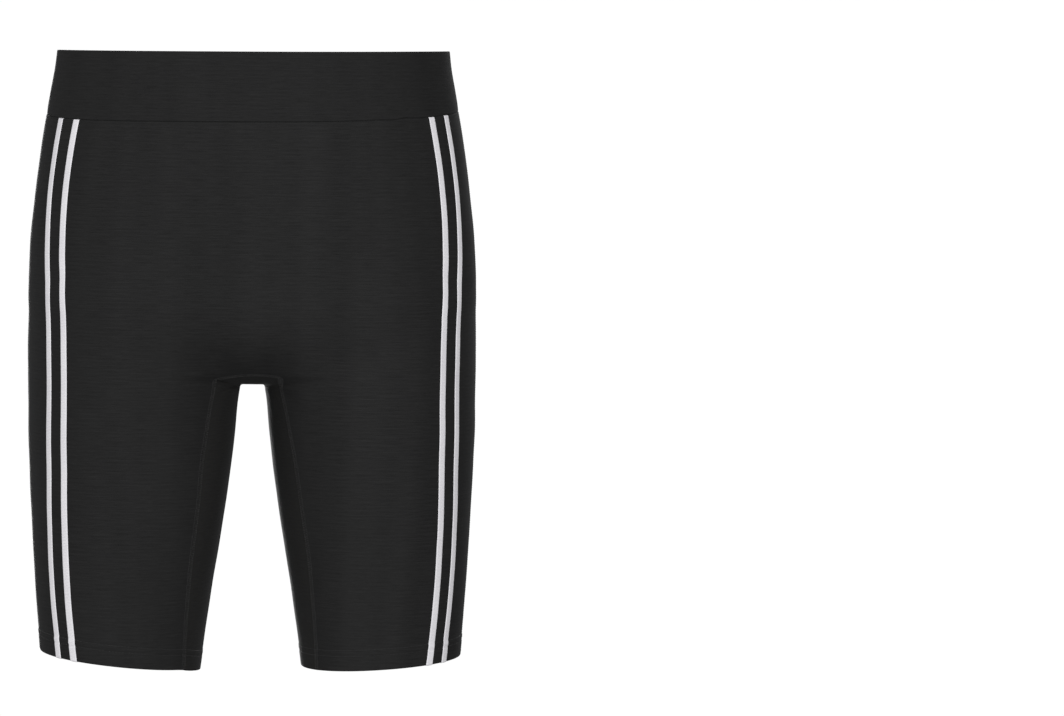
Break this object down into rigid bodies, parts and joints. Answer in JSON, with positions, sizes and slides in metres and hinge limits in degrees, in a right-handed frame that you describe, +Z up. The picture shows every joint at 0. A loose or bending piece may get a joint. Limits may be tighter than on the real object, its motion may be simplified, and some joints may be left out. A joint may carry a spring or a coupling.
{
  "type": "cycling shorts",
  "caption": "Hollow, filled-out cycling shorts of stretch knit with a deep plain waistband, a strip gusset, turned-up leg ends and thin contrast stripes by each side.",
  "frame": {"origin": "middle of the waist opening, level with the top edge of the waistband at the wearer's left side, where a wearer's waist holds the shorts up", "axes": "+Z up out of the waist, the front faces -Y, +X is the wearer's left"},
  "size_m": [0.3618, 0.2315, 0.4983],
  "materials": {
    "band_knit": "matt black elastic knit, fine horizontal streaks",
    "body_knit": "matt black stretch knit, fine horizontal streaks",
    "gusset_knit": "matt black finer stretch knit",
    "stripe_tape": "matt cool white knitted tape"
  },
  "bodies": {
    "root": {"waistband": "band_knit", "front_panel": "body_knit", "back_panel": "body_knit", "gusset": "gusset_knit", "stripe_front_right_inner": "stripe_tape", "stripe_front_right_outer": "stripe_tape", "stripe_front_left_inner": "stripe_tape", "stripe_front_left_outer": "stripe_tape", "stripe_back_right_inner": "stripe_tape", "stripe_back_right_outer": "stripe_tape", "stripe_back_left_inner": "stripe_tape", "stripe_back_left_outer": "stripe_tape"}
  },
  "joints": []
}
